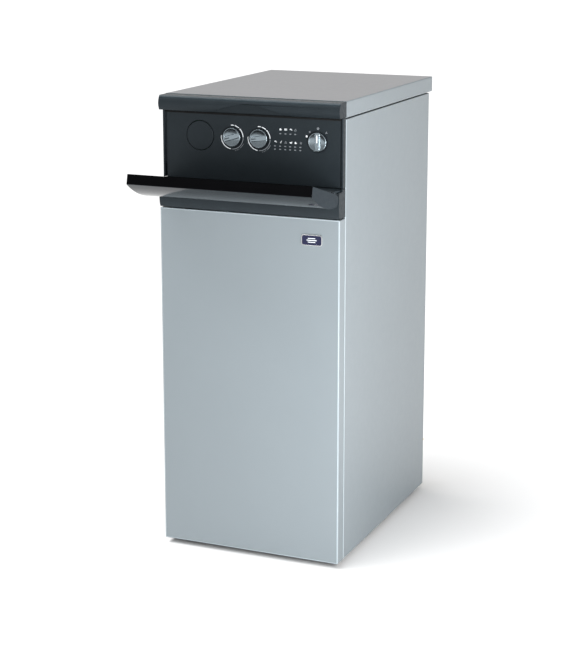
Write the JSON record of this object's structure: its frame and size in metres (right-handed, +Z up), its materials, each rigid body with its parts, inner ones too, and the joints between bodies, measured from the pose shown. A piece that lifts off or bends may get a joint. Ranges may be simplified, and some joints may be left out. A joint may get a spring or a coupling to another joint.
{
  "type": "gas boiler with atmospheric burner",
  "caption": "Narrow floor-standing gas boiler: cast-iron block over an atmospheric bar burner, in a steel casing with a flip-down cover over its dials.",
  "frame": {"origin": "on the floor under the middle of the casing", "axes": "+X to the right seen from the front, +Y from the front to the back, +Z up"},
  "size_m": [0.35, 0.7336, 0.85],
  "materials": {
    "casing_paint": "fine-textured light blue-grey powder coat",
    "cover_paint": "light neutral grey powder coat",
    "panel_plastic": "anthracite moulded plastic, satin",
    "smoked_plastic": "glossy smoked translucent plastic",
    "knob_silver": "silver-painted satin plastic",
    "badge_enamel": "slate-blue enamel plate with a pale border",
    "galvanised_steel": "galvanised sheet steel",
    "cast_iron": "grey cast iron with a cast skin",
    "stainless_steel": "stainless steel",
    "aluminium": "aluminised sheet or die-cast aluminium",
    "brass": "machined brass",
    "gas_pipe_paint": "yellow-ochre gas pipe paint",
    "black_plastic": "black moulded plastic",
    "board_green": "green circuit board",
    "ceramic": "glazed white ceramic, packed as gloss plastic",
    "insulation": "mineral-wool mat faced with woven foil",
    "red_plastic": "red moulded plastic"
  },
  "bodies": {
    "boiler": {"base_frame": "galvanised_steel", "left_side_panel": "casing_paint", "right_side_panel": "casing_paint", "rear_panel": "galvanised_steel", "top_bar": "panel_plastic", "fascia": "panel_plastic", "bottom_rail": "panel_plastic", "flap_hinge_pin_left": "stainless_steel", "flap_hinge_pin_right": "stainless_steel", "heating_potentiometer": "black_plastic", "hot_water_potentiometer": "black_plastic", "mode_switch": "black_plastic", "gauge_blanking_disc": "panel_plastic", "control_box": "galvanised_steel", "circuit_board": "board_green", "cable_gland": "black_plastic", "section_front": "cast_iron", "section_middle": "cast_iron", "section_rear": "cast_iron", "nipple_upper_front": "stainless_steel", "nipple_lower_front": "stainless_steel", "nipple_upper_rear": "stainless_steel", "nipple_lower_rear": "stainless_steel", "tie_rod_left": "galvanised_steel", "tie_rod_right": "galvanised_steel", "insulation_jacket": "insulation", "flow_pipe": "galvanised_steel", "return_pipe": "galvanised_steel", "combustion_chamber": "galvanised_steel", "burner_front_plate": "stainless_steel", "burner_bar_1": "stainless_steel", "burner_bar_2": "stainless_steel", "burner_bar_3": "stainless_steel", "injector_1": "brass", "injector_2": "brass", "injector_3": "brass", "gas_manifold": "gas_pipe_paint", "gas_valve": "aluminium", "gas_valve_coil": "black_plastic", "gas_pipe": "gas_pipe_paint", "ignition_electrode": "ceramic", "flame_sensor": "ceramic", "flue_collector": "aluminium", "draught_hood": "aluminium", "spill_thermostat": "aluminium", "drain_cock": "brass"},
    "front_panel": {"front_panel": "casing_paint", "badge": "badge_enamel"},
    "top_cover": {"top_cover": "cover_paint"},
    "flap": {"flap": "smoked_plastic"},
    "heating_knob": {"heating_knob": "knob_silver"},
    "hot_water_knob": {"hot_water_knob": "knob_silver"},
    "mode_knob": {"mode_knob": "knob_silver"},
    "foot_front_left": {"foot_front_left": "black_plastic"},
    "foot_front_right": {"foot_front_right": "black_plastic"},
    "foot_rear_left": {"foot_rear_left": "black_plastic"},
    "foot_rear_right": {"foot_rear_right": "black_plastic"},
    "sight_cover": {"sight_cover": "galvanised_steel"},
    "reset_button": {"reset_button": "red_plastic"},
    "drain_cock_lever": {"drain_cock_lever": "red_plastic"}
  },
  "joints": [
    {"name": "flap_hinge", "type": "hinge", "parent": "boiler", "child": "flap", "pos_m": [0, -0.231, 0.6825], "axis": [-1, 0, 0], "range_deg": [0, 74.3]},
    {"name": "heating_knob_turn", "type": "hinge", "parent": "boiler", "child": "heating_knob", "pos_m": [-0.0386, -0.2202, 0.7778], "axis": [0, -1, 0], "range_deg": [-17, 253]},
    {"name": "hot_water_knob_turn", "type": "hinge", "parent": "boiler", "child": "hot_water_knob", "pos_m": [0.0137, -0.2202, 0.7778], "axis": [0, -1, 0], "range_deg": [-7, 263]},
    {"name": "mode_knob_turn", "type": "hinge", "parent": "boiler", "child": "mode_knob", "pos_m": [0.1259, -0.2202, 0.7778], "axis": [0, -1, 0], "range_deg": [-43, 68]},
    {"name": "front_panel_pull", "type": "slide", "parent": "boiler", "child": "front_panel", "axis": [0, -1, 0], "range_m": [0, 0.15]},
    {"name": "top_cover_lift", "type": "slide", "parent": "boiler", "child": "top_cover", "axis": [0, 0, 1], "range_m": [0, 0.12]},
    {"name": "foot_front_left_height", "type": "slide", "parent": "boiler", "child": "foot_front_left", "axis": [0, 0, -1], "range_m": [0, 0.01]},
    {"name": "foot_front_right_height", "type": "slide", "parent": "boiler", "child": "foot_front_right", "axis": [0, 0, -1], "range_m": [0, 0.01]},
    {"name": "foot_rear_left_height", "type": "slide", "parent": "boiler", "child": "foot_rear_left", "axis": [0, 0, -1], "range_m": [0, 0.01]},
    {"name": "foot_rear_right_height", "type": "slide", "parent": "boiler", "child": "foot_rear_right", "axis": [0, 0, -1], "range_m": [0, 0.01]},
    {"name": "sight_cover_swing", "type": "hinge", "parent": "boiler", "child": "sight_cover", "pos_m": [0.103, -0.1501, 0.186], "axis": [0, -1, 0], "range_deg": [-95, 95]},
    {"name": "reset_button_press", "type": "slide", "parent": "boiler", "child": "reset_button", "axis": [-1, 0, 0], "range_m": [0, 0.002], "stiffness_N_per_m": 400, "springref_m": -0.002},
    {"name": "drain_cock_lever_turn", "type": "hinge", "parent": "boiler", "child": "drain_cock_lever", "pos_m": [-0.1, -0.172, 0.3623], "axis": [0, 0, -1], "range_deg": [0, 90]}
  ]
}
